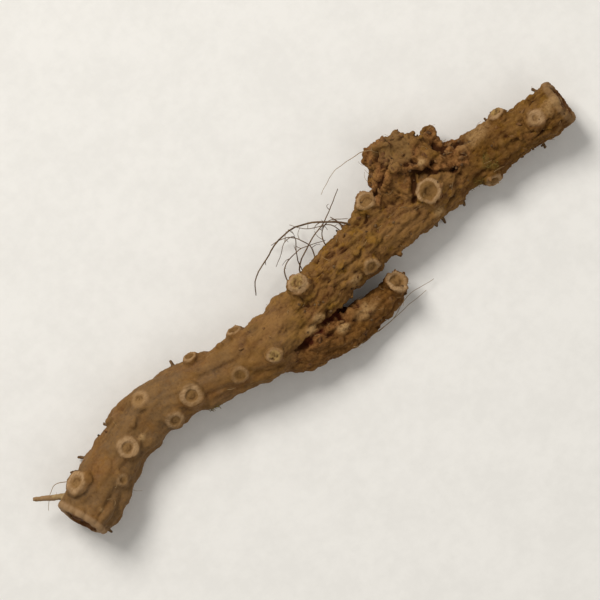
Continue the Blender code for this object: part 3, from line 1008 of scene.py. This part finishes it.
def soil_crumbs(skin):
    """Crumbs of dry soil that stuck in the creases."""
    points, faces = [], []
    draw = random.Random(CRUMB_SEED)
    ball = bmesh.new()
    bmesh.ops.create_icosphere(ball, subdivisions=2, radius=1.0)
    corners = [vertex.co.copy() for vertex in ball.verts]
    sides = [[vertex.index for vertex in face.verts] for face in ball.faces]
    ball.free()
    weights = np.clip(0.75 - skin.ridge, 0.02, 1) * (0.1 + skin.younger)
    weights *= np.clip(1 - skin.sliver - skin.lip, 0, 1)
    weights *= skin.points[:, 2] > 0.3
    for number, (point, normal, _) in enumerate(skin.spots(CRUMB_SEED, weights, CRUMB_COUNT)):
        radius = 0.05 + 0.12 * draw.random() ** 2
        centre = point + normal * (0.35 * radius)
        start = len(points)
        for corner in corners:
            dent = 1 + 0.55 * noise.noise(corner * 1.3 + Vector((number * 2.7, 0, 0)))
            points.append(centre + corner * (radius * dent))
        faces.extend([start + index for index in side] for side in sides)
    return points, faces


# Materials


def tint(red, green, blue):
    """A colour as a screen shows it, from 0 to 255, made linear."""
    shares = (value / 255 for value in (red, green, blue))
    return (*(s / 12.92 if s <= 0.04045 else ((s + 0.055) / 1.055) ** 2.4 for s in shares), 1.0)


DARK_BARK = tint(70, 38, 7)
MID_BARK = tint(108, 74, 32)
OLIVE_BARK = tint(102, 73, 22)
PALE_BARK = tint(140, 102, 51)
RED_BARK = tint(112, 73, 42)
UMBER_BARK = tint(88, 54, 9)
GREY_BARK = tint(99, 78, 56)
ASH_BARK = tint(116, 91, 66)
RUST_BARK = tint(90, 55, 28)
LUMP_OCHRE = tint(140, 100, 34)
LUMP_TAN = tint(176, 141, 94)
# Painted shade, laid in the bark's creases, splits and holes
CREASE_SHADE = tint(48, 20, 3)
RIM_PALE = tint(172, 139, 100)
RIM_DULL = tint(144, 111, 74)
BOWL_BROWN = tint(96, 70, 24)
BOWL_PALE = tint(144, 110, 68)
STUMP_TAN = tint(160, 130, 78)
STRAND_DARK = tint(66, 38, 15)
STRAND_PALE = tint(180, 142, 88)
TORN_DARK = tint(72, 36, 6)
TORN_PALE = tint(150, 104, 60)
CUT_BROWN = tint(112, 72, 36)
LIP_PALE = tint(150, 119, 84)
ROOT_DARK = tint(78, 55, 34)
ROOT_GREY = tint(114, 90, 62)
STRAW = tint(166, 140, 98)
STRAW_DARK = tint(128, 98, 60)
SCALE_TAN = tint(132, 96, 54)
SCALE_BROWN = tint(90, 56, 26)
SOIL_DARK = tint(74, 50, 28)
SOIL_GREY = tint(112, 86, 56)
DUSTY_BARK = tint(134, 98, 58)
MOUND_TAN = tint(120, 93, 56)
# Painted shade, dark red, in the pocket between the stem and the side shoot
POCKET_SHADE_RED = tint(64, 18, 6)
MOSS_OLIVE = tint(102, 84, 32)
MOSS_DRY = tint(126, 106, 50)
PAPER_COOL = tint(236, 234, 229)
PAPER_WARM = tint(241, 239, 234)


class Paint:
    """A material whose node tree is built a node at a time, from a ground colour upwards."""

    def __init__(self, name, ground, specular):
        self.material = bpy.data.materials.new(name)
        self.material.use_nodes = True
        self.tree = self.material.node_tree
        self.shader = self.tree.nodes["Principled BSDF"]
        self.shader.inputs["Specular IOR Level"].default_value = specular
        self.colour = ground

    def feed(self, socket, value):
        if isinstance(value, bpy.types.NodeSocket):
            self.tree.links.new(value, socket)
        else:
            socket.default_value = value

    def node(self, kind, inputs, **settings):
        made = self.tree.nodes.new("ShaderNode" + kind)
        for key, value in settings.items():
            setattr(made, key, value)
        for key, value in inputs.items():
            self.feed(made.inputs[key], value)
        return made

    def mask(self, name):
        return self.node("Attribute", {}, attribute_name=name).outputs["Fac"]

    def grain(self, along, across):
        """Places along and across the limb in millimetres, times these two numbers."""
        read = self.node("Attribute", {}, attribute_name="grain").outputs["Vector"]
        inputs = {0: read, 1: (along, across, across)}
        return self.node("VectorMath", inputs, operation="MULTIPLY").outputs["Vector"]

    def place(self, per_mm):
        """Places in millimetres, times a number."""
        inputs = {0: self.node("TexCoord", {}).outputs["Object"], "Scale": per_mm / MM}
        return self.node("VectorMath", inputs, operation="SCALE").outputs["Vector"]

    def noise(self, vector, detail, roughness=0.55):
        inputs = {"Vector": vector, "Scale": 1.0, "Detail": detail, "Roughness": roughness}
        return self.node("TexNoise", inputs).outputs["Fac"]

    def span(self, value, low, high, start=0.0, end=1.0):
        """Maps low to start and high to end, and holds beyond them."""
        inputs = {"Value": value, "From Min": low, "From Max": high, "To Min": start, "To Max": end}
        return self.node("MapRange", inputs).outputs["Result"]

    def plus(self, first, second):
        return self.node("Math", {0: first, 1: second}, operation="ADD").outputs["Value"]

    def times(self, first, second):
        return self.node("Math", {0: first, 1: second}, operation="MULTIPLY").outputs["Value"]

    def blend(self, share, first, second):
        return self.node("Mix", {0: share, 6: first, 7: second}, data_type="RGBA").outputs[2]

    def cover(self, colour, share, limit=None):
        """Lays a colour over what is there, by a share from 0 to 1, times a limit."""
        if limit is not None:
            share = self.times(share, limit)
        self.colour = self.blend(share, self.colour, colour)

    def finish(self, roughness, relief, depth):
        """Sets the colour, roughness and bump, whose depth is in metres."""
        self.feed(self.shader.inputs["Base Color"], self.colour)
        self.feed(self.shader.inputs["Roughness"], roughness)
        bump = self.node("Bump", {"Strength": 1.0, "Distance": depth, "Height": relief})
        self.feed(self.shader.inputs["Normal"], bump.outputs["Normal"])
        return self.material


def bark_paint():
    """Brown bark blotched pink, olive and ochre; painted highlight on ridges, painted shade in creases."""
    paint = Paint("shrivelled_bark", RED_BARK, specular=0.1)
    cover, blend, span, mask = paint.cover, paint.blend, paint.span, paint.mask
    younger = mask("younger")
    ridge = mask("ridge")
    wild = mask("wild")
    patches = paint.noise(paint.grain(0.3, 0.5), detail=3)
    drifts = paint.noise(paint.grain(0.24, 0.34), detail=2)
    streaks = paint.noise(paint.grain(0.7, 2.2), detail=5, roughness=0.62)
    fibres = paint.noise(paint.grain(2.6, 6.0), detail=4, roughness=0.65)
    dust = paint.noise(paint.place(0.8), detail=2)
    blots = paint.noise(paint.place(1.1), detail=4, roughness=0.62)
    shreds = paint.noise(paint.place(2.2), detail=5, roughness=0.7)
    specks = paint.noise(paint.place(4.2), detail=3, roughness=0.65)

    def aged(at_older, at_younger):
        """A number that changes from the older end to the younger."""
        return span(younger, 0, 1, at_older, at_younger)

    contrast = aged(0.14, 0.75)
    older = aged(0.45, 0.0)

    # The whole bark, from its broad patches to its fine lines
    cover(OLIVE_BARK, span(patches, 0.42, 0.6), aged(0.5, 1.0))
    cover(MID_BARK, span(blots, 0.4, 0.6, 0.6, 0.0))
    cover(GREY_BARK, span(drifts, 0.38, 0.56), aged(0.95, 0.2))
    cover(DUSTY_BARK, span(dust, 0.46, 0.66), aged(0.24, 0.72))
    cover(PALE_BARK, span(streaks, 0.46, 0.64), contrast)
    cover(LUMP_OCHRE, span(blots, 0.53, 0.66), aged(0.2, 0.75))
    cover(DUSTY_BARK, mask("worn"), 0.75)
    cover(UMBER_BARK, mask("umber"), 0.7)
    cover(ASH_BARK, span(blots, 0.5, 0.62), older)
    cover(RUST_BARK, span(blots, 0.45, 0.33), older)
    cover(DARK_BARK, span(streaks, 0.46, 0.3), contrast)
    cover(DARK_BARK, span(specks, 0.45, 0.28, 0.0, 0.6))
    cover(PALE_BARK, span(specks, 0.54, 0.7, 0.0, 0.5))
    cover(DARK_BARK, span(fibres, 0.44, 0.3), aged(0.2, 0.4))

    # Burst bark, then painted highlight on ridges and painted shade in creases
    cover(blend(span(shreds, 0.38, 0.6), TORN_DARK, TORN_PALE), wild, 0.72)
    cover(MOUND_TAN, mask("mound"), span(specks, 0.3, 0.55, 0.25, 0.6))
    # Painted highlight: the high places of the relief made paler
    cover(PALE_BARK, span(ridge, 0.62, 0.95, 0.0, 0.4))
    # Painted shade: the low places of the relief darkened, dark red in the pocket
    cover(blend(mask("pocket"), CREASE_SHADE, POCKET_SHADE_RED), span(ridge, 0.4, 0.06, 0.0, 0.9))

    # Moss, roots, the strip of bark and the broken ends
    cover(MOSS_OLIVE, mask("moss"), span(specks, 0.35, 0.6, 0.05, 0.6))
    cover(blend(span(specks, 0.4, 0.6), ROOT_DARK, ROOT_GREY), mask("root"), 0.85)
    cover(blend(span(streaks, 0.35, 0.6), STRAW_DARK, STRAW), mask("sliver"))
    cover(blend(span(shreds, 0.36, 0.62), DARK_BARK, CUT_BROWN), mask("cut"))
    cover(STRAND_PALE, mask("strands"))
    cover(LIP_PALE, mask("lip"), span(streaks, 0.3, 0.55, 0.5, 1.0))

    # Pale lumps and the fronds' cups
    cover(LUMP_TAN, mask("lump"), span(specks, 0.34, 0.54, 0.3, 0.95))
    cover(blend(span(specks, 0.35, 0.6), BOWL_BROWN, MID_BARK), mask("bowl"), 0.7)
    cover(BOWL_PALE, mask("middle"), span(specks, 0.32, 0.52, 0.45, 1.0))
    stump_colour = blend(span(shreds, 0.36, 0.52), DARK_BARK, STUMP_TAN)
    cover(stump_colour, mask("stump"), span(ridge, 0.1, 0.5, 0.0, 0.8))
    cover(blend(span(fibres, 0.36, 0.6), RIM_DULL, RIM_PALE), span(mask("rim"), 0.15, 0.75))
    cover(STRAND_DARK, mask("dots"), 0.8)

    relief = paint.times(fibres, aged(0.3, 1.0))
    relief = paint.plus(relief, paint.times(specks, 0.8))
    relief = paint.plus(relief, paint.times(paint.times(shreds, wild), 1.5))
    relief = paint.times(relief, aged(0.6, 1.0))
    return paint.finish(span(paint.plus(ridge, streaks), 0.6, 1.6, 0.9, 0.6), relief, 0.00006)


def plain_paint(name, dark, pale, per_mm, roughness, depth):
    """A material mottled between two colours, with a least roughness and a bump's depth in metres."""
    paint = Paint(name, dark, specular=0.25)
    mottle = paint.noise(paint.place(per_mm), detail=4, roughness=0.65)
    blotches = paint.noise(paint.place(per_mm * 0.22), detail=2)
    paint.cover(pale, paint.span(paint.plus(mottle, blotches), 0.82, 1.18))
    return paint.finish(paint.span(mottle, 0.3, 0.7, roughness, 0.95), mottle, depth)


# Stage


def stage():
    """A pale floor, soft studio light, and the camera straight above, turned as the stem lies."""
    scene = bpy.context.scene
    scene.view_settings.view_transform = "Standard"
    floor_data = bpy.data.meshes.new("floor")
    floor_mesh = bmesh.new()
    bmesh.ops.create_grid(floor_mesh, x_segments=1, y_segments=1, size=FLOOR_SIZE)
    floor_mesh.to_mesh(floor_data)
    floor_mesh.free()
    floor = bpy.data.objects.new("floor", floor_data)
    floor.location.z = FLOOR_DROP
    scene.collection.objects.link(floor)
    floor_data.materials.append(plain_paint("pale_paper", PAPER_COOL, PAPER_WARM, 0.9, 0.85, 0.00001))

    scene.world = bpy.data.worlds.new("studio")
    scene.world.use_nodes = True
    sky = scene.world.node_tree.nodes["Background"]
    sky.inputs["Color"].default_value = SKY_COLOUR
    sky.inputs["Strength"].default_value = SKY_STRENGTH

    turn = -math.radians(STEM_TURN)
    right = Vector((math.cos(turn), math.sin(turn), 0))
    upward = Vector((-math.sin(turn), math.cos(turn), 0))
    for name, across, along, distance, size, power in LAMPS:
        aim = across * right + along * upward + UP
        data = bpy.data.lights.new(name, "AREA")
        data.size = size
        data.energy = power
        data.color = LAMP_COLOUR
        lamp = bpy.data.objects.new(name, data)
        lamp.location = aim.normalized() * distance
        lamp.rotation_mode = "QUATERNION"
        lamp.rotation_quaternion = aim.to_track_quat("Z", "Y")
        scene.collection.objects.link(lamp)

    lens = bpy.data.cameras.new("camera")
    lens.lens = lens.sensor_width * CAMERA_HEIGHT / VIEW_WIDTH
    lens.clip_start = 0.01
    lens.clip_end = 20.0
    camera = bpy.data.objects.new("camera", lens)
    camera.location = (0, 0, CAMERA_HEIGHT)
    camera.rotation_euler = (0, 0, turn)
    scene.collection.objects.link(camera)
    scene.camera = camera


# Assembly


def settle(name, data, paint):
    """Makes a piece from a mesh with one material, and lets it ride on the part."""
    data.materials.clear()
    data.materials.append(paint)
    piece = bpy.data.objects.new(name, data)
    bpy.context.scene.collection.objects.link(piece)
    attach(piece, "root")
    return piece


def settle_small(name, solid, look, thickness=0.0):
    """Makes a piece of points in millimetres, and gives it a thickness if it is an open sheet."""
    points, faces = solid
    data = bpy.data.meshes.new(name)
    data.from_pydata([(point + TO_ORIGIN) * MM for point in points], [], faces)
    data.shade_smooth()
    piece = settle(name, data, plain_paint(name, *look))
    if thickness:
        piece.modifiers.new("thickness", "SOLIDIFY").thickness = thickness * MM


noise.seed_set(NOISE_SEED)
stage()
skin = BarkSkin()
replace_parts(settle("shrivelled_bark", skin.data, bark_paint()), "rhizome")
settle_small("wiry_roots", wiry_roots(), (ROOT_DARK, ROOT_GREY, 3.0, 0.7, 0.00004))
settle_small("pale_hairs", pale_hairs(skin), (STRAW_DARK, STRAW, 2.0, 0.6, 0.00001))
settle_small("bark_scales", bark_scales(skin), (SCALE_BROWN, SCALE_TAN, 2.4, 0.7, 0.00003), SCALE_THICKNESS)
settle_small("soil_crumbs", soil_crumbs(skin), (SOIL_DARK, SOIL_GREY, 6.0, 0.9, 0.00003))
settle_small("moss_leaves", moss_leaves(skin), (MOSS_OLIVE, MOSS_DRY, 5.0, 0.8, 0.00002), SCALE_THICKNESS)
